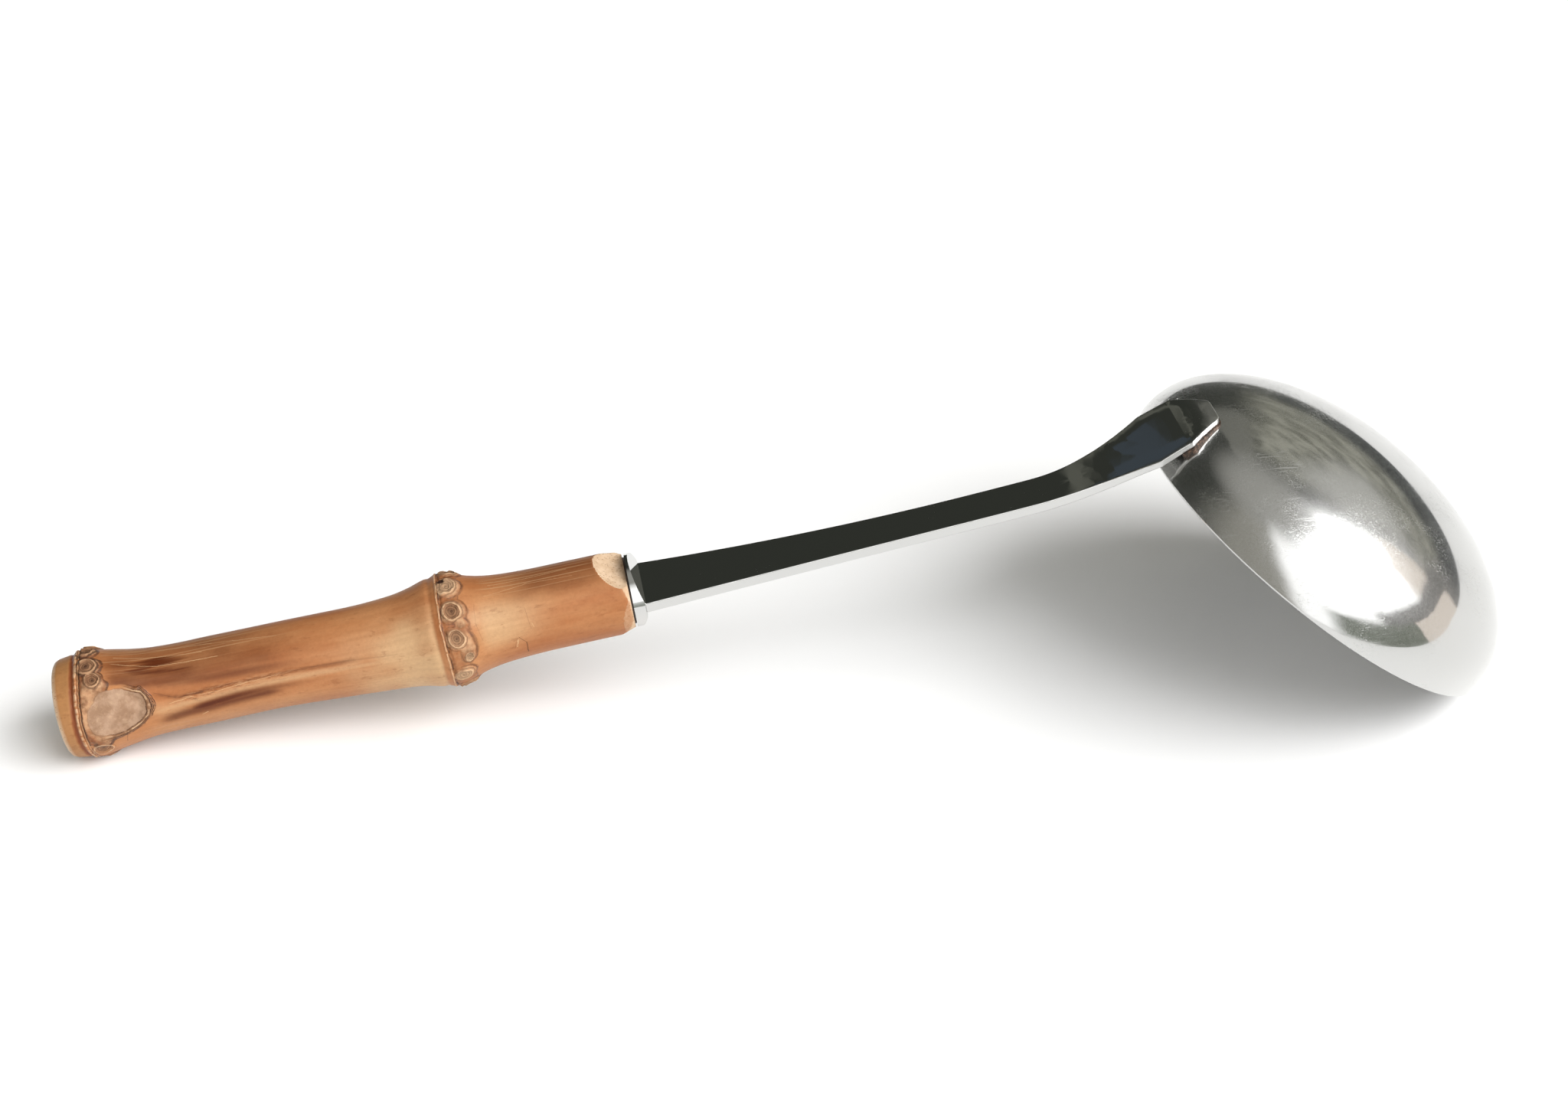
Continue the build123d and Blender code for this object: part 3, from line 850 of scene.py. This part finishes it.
print("nodes carved between", round(lift.min(), 2), "and", round(lift.max(), 2), "mm")

# %% Relief of the bud scar
disc = inside(bud_scar, 0.90, 1.05)
tip_lip = step(bud_along + 0.5 * bud_across, -0.5, 0.5)
lift = lift * (1 - inside(bud_scar, 1.05, 1.25))
lift -= 0.50 * inside(bud_scar, 0.72, 1.02) * (0.4 + 0.6 * tip_lip)
lift += 0.05 * disc * lumpy + 0.03 * disc * ragged
lift += 0.26 * bell(bud_scar - 1.07, 0.07) * (1 + 0.5 * ragged) * tip_lip
lift += 0.20 * bell(bud_scar - 1.20, 0.055) * (1 + 0.9 * ragged) * tip_lip
for name in ("scorch", "crack"):
    wipe(name, inside(bud_scar, 1.12, 1.25))
resting = sides(140, 165) * before(12, 16)
lift = np.where(lift > 0, lift * (1 - 0.9 * resting), lift)
print("bud scar is", round(-lift[bud_scar < 0.7].mean(), 2), "mm deep on average")

# %% [markdown]
# ### Furrow
# Above a bud, bamboo has a shallow furrow along the stem, with a crack on its
# upper side and torn fibres in it. Oil and age leave long, low wrinkles.

# %% Furrow and wrinkles
furrow = [(17, 66), (24, 74), (31, 71), (45, 69), (58, 68), (70, 72)]
ridge = [(17, 88), (26, 85), (45, 81), (60, 80)]
crack = [(19, 60), (24, 71), (31, 67.5), (45, 66.5), (58, 66), (70, 71)]
torn_fibres = [(24, 75), (28, 73), (32, 71), (38, 69.5), (50, 69), (64, 70)]

lift -= 0.34 * stroke(furrow, 1.5) * before(30, 70)
lift += 0.14 * stroke(ridge, 1.0)
paint("crack", 0.36 * stroke(crack, 0.25))
paint("fibre", stroke(torn_fibres, 1.0, 2.5) * before(30, 60))
lift += 0.035 * cloud(9.0, 0.9, 11) * after(9, 14) * before(25, 60)
print("carved between", round(lift.min(), 2), "and", round(lift.max(), 2), "mm")

# %% [markdown]
# ### Facets at the collar
# The maker sanded the stem down to the oval collar: a scooped facet on top, and
# a slope that runs out round the sides and underneath. The stem isn't quite
# straight either, so at the end it gets a slight bow.

# %% Facets and shape
COLLAR_HALF_WIDTH, COLLAR_HALF_HEIGHT = 8.5, 7.1
FACETS_FROM = 105
BOW = [(0, -0.15), (6, -0.02), (25, -0.2), (42, -0.05), (66, -0.5), (78, 0.0), (90, 0.12),
       (104, 0.35), (115.5, 0.5)]

at_front = ALONG > FACETS_FROM
cut_front = at_front & (OUTER > 0)
from_front = HANDLE_LENGTH - ALONG
outwards = skin[:, 1:] / np.maximum(RADIUS, 0.01)[:, None]
shaped = RADIUS + lift * OUTER * after(0.2, 1.4)
oval = 1 / np.hypot(outwards[:, 0] / COLLAR_HALF_WIDTH, outwards[:, 1] / COLLAR_HALF_HEIGHT)
slope = oval - 0.05 + (0.55 - 0.20 * sides(60, 100)) * from_front
paint("sanded", 0.66 * step(shaped - slope, -0.10, 0.14) * at_front)
bare_end = 0.4 + 1.9 * sides(62, 100)
paint("sanded", 0.46 * step(bare_end + 0.15 * ragged - from_front, -0.15, 0.15))
shaped = np.where(cut_front, np.minimum(shaped, slope), shaped)
across, tall = outwards[:, 0] * shaped, outwards[:, 1] * shaped
scoop = 5.15 + 0.095 * from_front ** 2
paint("sanded", step(tall - scoop, -0.10, 0.12) * at_front)
tall = np.where(cut_front, np.minimum(tall, scoop), tall)
for name in ("scorch", "crack", "fibre", "lined"):
    wipe(name, masks["sanded"])
masks["end_grain"] = before(0.35, 0.75)
tall += smooth_line(np.clip(ALONG, 0, HANDLE_LENGTH), BOW) * OUTER
skin[:, 1], skin[:, 2] = across, tall
write_points(handle, skin * MM)
print("points on facets", int((masks["sanded"] > 0.5).sum()))

# %% [markdown]
# ### What the material gets from the carving
# All masks and distances are stored on the points. So is the place of each point
# on a plain round stem, because grain that follows it runs straight along the
# bamboo, over bumps and dips.

# %% Fields of the skin
fields = {"root_scar": root_scar, "root_dark": root_dark, "lump": lump, "tissue": tissue,
          "bud_scar": bud_scar, "bud_lip": tip_lip, "butt_ring": butt_ring,
          "middle_ring": middle_ring}
for name, values in {**masks, **fields}.items():
    write_mask(handle, name, np.clip(values, -FAR, FAR))
turned = np.radians(ROUND)
stem = np.column_stack([ALONG, -SKIN_RADIUS * np.sin(turned), SKIN_RADIUS * np.cos(turned)])
layer = handle.data.attributes.new("grain", "FLOAT_VECTOR", "POINT")
layer.data.foreach_set("vector", (stem * MM).astype(np.float32).ravel())
print(len(masks), "masks and", len(fields), "distances stored")

# %% [markdown]
# ### Put the handle in its place
# The record says where the butt is and which way it faces. The handle was turned
# with its butt at the origin, so it only has to be tilted and moved there.

# %% Handle place
butt = next(mount for mount in frame["record"]["mounts"] if mount["name"] == "butt_end")
HANDLE_SLOPE = asin(-butt["axis"][2])

place(handle, -HANDLE_SLOPE, butt["pos_m"])
bpy.ops.object.shade_smooth_by_angle(angle=radians(38))
print("butt at", butt["pos_m"], "slope", round(HANDLE_SLOPE, 4), "radians")

# %% [markdown]
# ## Bamboo finish
# Oiled bamboo is honey brown with darker strands. Several noises, each stretched
# along the grain by its own amount, give strands, threads and freckles. Grit
# isn't stretched. It is used for cork, and to fray the edges of all marks, so
# that none of them looks drawn with a ruler.

# %% Grain and grit
bamboo, tree, surface = new_material("oiled_bamboo")
where = object_coordinates(tree, HANDLE_SLOPE)
grain = put(tree, "Attribute", attribute_name="grain").outputs["Vector"]
broad = noise(tree, stretch(tree, grain, (0.35, 1, 1)), 120.0, 4.0, 0.6)
strands = noise(tree, stretch(tree, grain, (0.03, 1, 1)), 1300.0, 3.0, 0.6)
threads = noise(tree, stretch(tree, grain, (0.004, 1, 1)), 2400.0, 0.0)
specks = noise(tree, stretch(tree, grain, (0.45, 1, 1)), 800.0, 3.0, 0.7)
chips = noise(tree, stretch(tree, grain, (0.22, 1, 1)), 2300.0, 3.0, 0.7)
grit = noise(tree, where, 1500.0, 4.0, 0.65)
soft_grit = noise(tree, where, 480.0, 3.0, 0.55)


def times(*factors):
    result = factors[0]
    for factor in factors[1:]:
        result = calc(tree, "MULTIPLY", result, factor)
    return result


loose = calc(tree, "SUBTRACT", strands, 0.5)
rugged = calc(tree, "SUBTRACT", calc(tree, "ADD", times(grit, 0.5), times(soft_grit, 0.5)), 0.5)
patchy = ramp(tree, soft_grit, 0.36, 0.60)
gritty = ramp(tree, grit, 0.32, 0.52)
print("material", bamboo.name, "starts with", len(tree.nodes), "nodes")

# %% Frayed edges and lines
def shaken(name, amount):
    """A distance or a mask of the skin, shaken a little so that its edges fray."""
    return calc(tree, "ADD", mask(tree, name), times(rugged, amount))


def frayed(name, amount, low, high):
    """A mask whose edge runs out along the strands."""
    return ramp(tree, calc(tree, "ADD", mask(tree, name), times(loose, amount)), low, high)


def line(value, at, width):
    """A line where a distance has a certain value."""
    gap = calc(tree, "ABSOLUTE", calc(tree, "SUBTRACT", value, at))
    return ramp(tree, gap, width, 0.25 * width)


scar, bud = shaken("root_scar", 0.62), shaken("bud_scar", 0.14)
tissue_field, lump_field = shaken("tissue", 0.7), shaken("lump", 0.6)
ring_b, ring_m = shaken("butt_ring", 0.35), shaken("middle_ring", 0.45)
darkness, bud_lip = mask(tree, "root_dark"), mask(tree, "bud_lip")

# %% [markdown]
# ### Skin
# From here on one colour after another is laid over the skin, each with its own
# share, as a painter lays glazes.

# %% Skin colours
HONEY, CARAMEL, BLOND_AND_HIGHLIGHT = srgb(172, 119, 77), srgb(155, 96, 56), srgb(185, 150, 111)
BAND, SCORCH, FRECKLE = srgb(160, 113, 70), srgb(78, 30, 5), srgb(112, 62, 32)
FIBRE = srgb(190, 152, 112)

coats = [mix(tree, ramp(tree, broad, 0.30, 0.70), HONEY, CARAMEL)]


def coat(paint, *shares, blend="MIX"):
    """Lays a paint over all coats before it. Its shares are multiplied."""
    coats.append(mix(tree, times(*shares), coats[-1], paint, blend))


coat(BAND, ramp(tree, ring_b, -0.7, -1.2))
# Pale wood, and a small painted highlight right of the middle node.
coat(BLOND_AND_HIGHLIGHT, frayed("blond_and_highlight", 0.15, 0.0, 0.95))
coat(SCORCH, frayed("scorch", 0.30, 0.05, 1.05))
coat(FRECKLE, ramp(tree, specks, 0.56, 0.72), 0.32)
dim = times(ramp(tree, strands, 0.25, 0.75, 0.95, 1.04),
            ramp(tree, grit, 0.25, 0.75, 0.94, 1.06))
coat(grey(tree, dim), 1.0, blend="MULTIPLY")
coat(FIBRE, ramp(tree, threads, 0.60, 0.70), mask(tree, "lined"), 0.40)
print(len(coats), "coats on the skin")

# %% [markdown]
# ### Nodes
# The tissue is cork on rusty brown, with a dark, broken outline. Both are
# weaker at the middle node. At the butt the stronger rusty brown is partly stain
# and partly painted shade. Root scars are paler or darker discs with rings in
# them, as in a cut twig.

# %% Tissue of the nodes
CORK, DARK_CORK, PINK_CORK = srgb(178, 141, 106), srgb(122, 86, 60), srgb(176, 132, 98)
RUST_AND_SHADE, CRACK_AND_SHADE, PALE_RIM = srgb(122, 62, 32), srgb(60, 36, 24), srgb(196, 164, 130)
MIDDLE_NODE = (-3.5, -3.0)

tissue_in = ramp(tree, tissue_field, -0.1, 0.2)
lump_in = times(ramp(tree, lump_field, 0.1, 0.9), tissue_in)
rusty = mix(tree, ramp(tree, grit, 0.35, 0.65), RUST_AND_SHADE, DARK_CORK)
light_cork = mix(tree, ramp(tree, grit, 0.3, 0.7), PINK_CORK, CORK)
# Rusty brown, stronger at the butt: partly stain, partly painted shade there.
coat(rusty, tissue_in, ramp(tree, ring_m, *MIDDLE_NODE, 0.7, 0.38))
coat(mix(tree, ramp(tree, soft_grit, 0.30, 0.62), DARK_CORK, light_cork), lump_in)
coat(CRACK_AND_SHADE, line(lump_field, 0.2, 0.25), tissue_in, patchy, 0.6)
coat(CRACK_AND_SHADE, line(tissue_field, 0.0, 0.26), ramp(tree, grit, 0.28, 0.46),
     ramp(tree, ring_m, *MIDDLE_NODE, 0.72, 0.42))
print(len(coats), "coats with the tissue")

# %% Root scars in the tissue
SCAR_RINGS = 21.0

turns = put(tree, "Math", {0: times(scar, SCAR_RINGS)}, operation="SINE").outputs[0]
in_scar = ramp(tree, scar, 1.0, 0.86)
coat(mix(tree, darkness, PALE_RIM, DARK_CORK), in_scar, 0.75)
coat(CRACK_AND_SHADE, ramp(tree, turns, 0.1, 0.9), in_scar, gritty,
     ramp(tree, darkness, 0.0, 0.8, 0.18, 0.55))
coat(CRACK_AND_SHADE, ramp(tree, scar, 0.42, 0.1), darkness, 0.6)
coat(PALE_RIM, line(scar, 1.03, 0.10), ramp(tree, soft_grit, 0.3, 0.6, 0.25, 0.85),
     ramp(tree, darkness, 0.9, 1.2, 1.0, 0.15))
coat(CRACK_AND_SHADE, line(scar, 1.30, 0.22), ramp(tree, darkness, 0.95, 1.2, 0.0, 0.8))
coat(CRACK_AND_SHADE, line(scar, 1.25, 0.09), patchy, 0.6)
print(len(coats), "coats with the root scars")

# %% [markdown]
# The bud scar is a grey disc with thin, dark cracks round its lip. The rings of
# both nodes are pale crests beside dark grooves: painted highlight on the crests
# and painted shade in the grooves.

# %% Bud scar and rings
BUD_GREY, BUD_DARK = srgb(165, 135, 111), srgb(140, 109, 85)

bud_tone = mix(tree, ramp(tree, soft_grit, 0.3, 0.7), BUD_DARK, BUD_GREY)
bud_tone = mix(tree, times(ramp(tree, grit, 0.50, 0.75), 0.30), bud_tone, PALE_RIM)
coat(DARK_CORK, ramp(tree, bud, 1.24, 1.14), bud_lip)
coat(bud_tone, ramp(tree, bud, 1.02, 0.93))
coat(PALE_RIM, line(bud, 1.06, 0.05), patchy, bud_lip, 0.8)
coat(CRACK_AND_SHADE, line(bud, 0.985, 0.025), gritty, ramp(tree, bud_lip, 0.0, 1.0, 0.25, 0.8))
for at in (1.13, 1.20, 1.26):
    coat(CRACK_AND_SHADE, line(bud, at, 0.03), gritty, bud_lip)
# Painted shade in the ring grooves and painted highlight on their crests.
coat(RUST_AND_SHADE, line(ring_b, -0.75, 0.85), 0.9)
coat(PALE_RIM, line(ring_b, 0.0, 0.40), ramp(tree, strands, 0.40, 0.56), 0.75)
coat(PALE_RIM, line(ring_b, 0.64, 0.18), gritty, 0.35)
for at in (0.40, 0.94):
    coat(CRACK_AND_SHADE, line(ring_b, at, 0.16), patchy, 0.6)
coat(PALE_RIM, line(ring_m, 0.0, 0.20), gritty, 0.7)
coat(CRACK_AND_SHADE, line(ring_m, 0.42, 0.22), patchy, 0.9)
print(len(coats), "coats with the bud scar and the rings")

# %% [markdown]
# ### Scratches
# Thin scratches and cracks are drawn by the material itself, as straight lines
# from one place on the unrolled skin to another. The mesh would be too coarse
# for them. One node group measures how far a point is from such a line.

# %% Node group: skin line
def build_skin_line():
    group, given = new_group("skin_line", ["Place", "From", "To"], ["Width"], "Line")

    def vector(operation, *inputs):
        return put(group, "VectorMath", dict(enumerate(inputs)), operation=operation).outputs

    whole = vector("SUBTRACT", given["To"], given["From"])[0]
    part = vector("SUBTRACT", given["Place"], given["From"])[0]
    share = calc(group, "DIVIDE", vector("DOT_PRODUCT", part, whole)[1],
                 vector("DOT_PRODUCT", whole, whole)[1])
    share = put(group, "Clamp", {0: share}).outputs[0]
    nearest = put(group, "VectorMath", {0: whole, "Scale": share}, operation="SCALE").outputs[0]
    gap = vector("LENGTH", vector("SUBTRACT", part, nearest)[0])[1]
    drawn_line = ramp(group, gap, given["Width"], calc(group, "MULTIPLY", given["Width"], 0.3))
    fill(group, group.nodes.new("NodeGroupOutput"), {"Line": drawn_line})
    return group


SKIN_LINE = build_skin_line()
print("group", SKIN_LINE.name, "with", len(SKIN_LINE.nodes), "nodes")

# %% [markdown]
# Each line runs from one (station, angle) to another and has a width in
# millimetres. Pale ones are scratches in the oil, dark and faint ones cracks.

# %% Lines to draw
PALE_LINES = [((11, -10), (18, -11), 0.16), ((18, -11), (32, 2), 0.14),
              ((32, 2), (45, 13), 0.10), ((12.5, 0), (20, 7), 0.13),
              ((20, 7), (30, 14), 0.10), ((12, 11), (21, 23), 0.10),
              ((21, 23), (33, 26), 0.13), ((11, -22), (30, -15), 0.14),
              ((11, -31), (26, -28), 0.12), ((86.5, -4), (99, -16), 0.13),
              ((99, -16), (110, -15), 0.12), ((87, 23), (96, 14), 0.12),
              ((96, 14), (105, 17), 0.10), ((88, 6), (104, 2), 0.10),
              ((22, 76.5), (27, 73.5), 0.12), ((30, 74), (38.5, 70), 0.14),
              ((36, 71), (44, 68.5), 0.10), ((27.6, 104), (28.8, 101), 0.18),
              ((95.3, 70), (95.6, 76), 0.14), ((92.0, 90), (91.5, 101), 0.26)]
DARK_LINES = [((12.6, 101), (11.9, 120), 0.10), ((92.2, 86), (93.5, 97), 0.11),
              ((93.5, 97), (93.4, 117), 0.24)]
FAINT_LINES = [((84.8, 32), (84.5, 56), 0.09), ((84.5, 56), (85.2, 78), 0.10),
               ((94.5, 48), (95.0, 78), 0.10), ((91.9, 86), (90.9, 104), 0.12),
               ((19.5, 58), (23.5, 70), 0.16)]
print(len(PALE_LINES), "pale,", len(DARK_LINES), "dark and", len(FAINT_LINES), "faint lines")

# %% Draw the lines
WIDTH_SHARE = 0.75

station, sideways, upright = put(tree, "SeparateXYZ", {0: grain}).outputs
turn = calc(tree, "ARCTAN2", times(sideways, -1.0), upright)
flat = put(tree, "CombineXYZ", {0: times(station, 1 / MM), 1: times(turn, SKIN_RADIUS)}).outputs[0]
shake = put(tree, "CombineXYZ", {0: times(rugged, 0.5), 1: times(rugged, 0.6)}).outputs[0]
flat = put(tree, "VectorMath", {0: flat, 1: shake}, operation="ADD").outputs[0]


def drawn(lines):
    marks = 0.0
    for start, end, width in lines:
        ends = [(x, radians(angle) * SKIN_RADIUS, 0) for x, angle in (start, end)]
        given = {"Place": flat, "From": ends[0], "To": ends[1], "Width": WIDTH_SHARE * width}
        made = put(tree, "Group", given, node_tree=SKIN_LINE)
        marks = calc(tree, "MAXIMUM", made.outputs[0], marks)
    return marks


coat(FIBRE, drawn(PALE_LINES), ramp(tree, strands, 0.35, 0.6, 0.3, 0.9))
coat(CRACK_AND_SHADE, drawn(DARK_LINES), 0.65)
coat(CRACK_AND_SHADE, drawn(FAINT_LINES), 0.28)
print(len(coats), "coats with the lines")

# %% [markdown]
# ### Torn fibres and cut wood
# The furrow has pale, torn fibres with dark gaps. Where the wood is cut, at the
# facets and the butt, it is pale and dotted with the dark ends of its fibres.

# %% Furrow, cracks and cut wood
SANDED, SANDED_DARK, BUNDLE = srgb(212, 185, 156), srgb(193, 163, 132), srgb(120, 82, 56)
DOTS_PER_METRE = 2300.0

torn = mask(tree, "fibre")
coat(CRACK_AND_SHADE, frayed("crack", 0.4, 0.15, 0.8))
coat(FIBRE, torn, ramp(tree, chips, 0.46, 0.62), 0.40)
coat(CRACK_AND_SHADE, torn, ramp(tree, chips, 0.46, 0.36), 0.7)
dots = put(tree, "TexVoronoi", {"Vector": stretch(tree, where, (0.4, 1, 1)),
                                "Scale": DOTS_PER_METRE}).outputs[0]
cut_wood = mix(tree, ramp(tree, soft_grit, 0.3, 0.7), SANDED, SANDED_DARK)
cut_wood = mix(tree, times(ramp(tree, dots, 0.30, 0.14), 0.75), cut_wood, BUNDLE)
sanded = ramp(tree, shaken("sanded", 0.3), 0.3, 0.75)
coat(cut_wood, sanded)
coat(cut_wood, mask(tree, "end_grain"))
print(len(coats), "coats in all")

# %% [markdown]
# ### Gloss and relief
# Oiled skin shines a little. Cork, the bud scar and sanded wood are dry and
# dull, and have a fine, rough relief that the mesh is too coarse for.

# %% Finish of the handle
OILED, DRY = 0.46, 0.80
RELIEF_HEIGHT = 0.00014

dry = calc(tree, "MAXIMUM", lump_in, ramp(tree, bud, 1.2, 1.1))
dry = calc(tree, "MAXIMUM", dry, sanded)
rough_relief = calc(tree, "ADD", grit, times(turns, in_scar, 0.5))
rough_relief = times(calc(tree, "MAXIMUM", dry, tissue_in), rough_relief)
relief = calc(tree, "ADD", times(strands, 0.2), times(rough_relief, 1.6))
bump = put(tree, "Bump", {"Strength": 0.6, "Distance": RELIEF_HEIGHT, "Height": relief})
fill(tree, surface, {"Base Color": coats[-1], "Roughness": ramp(tree, dry, 0.0, 1.0, OILED, DRY),
                     "Normal": bump.outputs[0], "Specular IOR Level": 0.22})
dress(handle, bamboo)
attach(handle, "root")
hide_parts("bamboo_handle")
print("material", bamboo.name, "has", len(tree.nodes), "nodes")
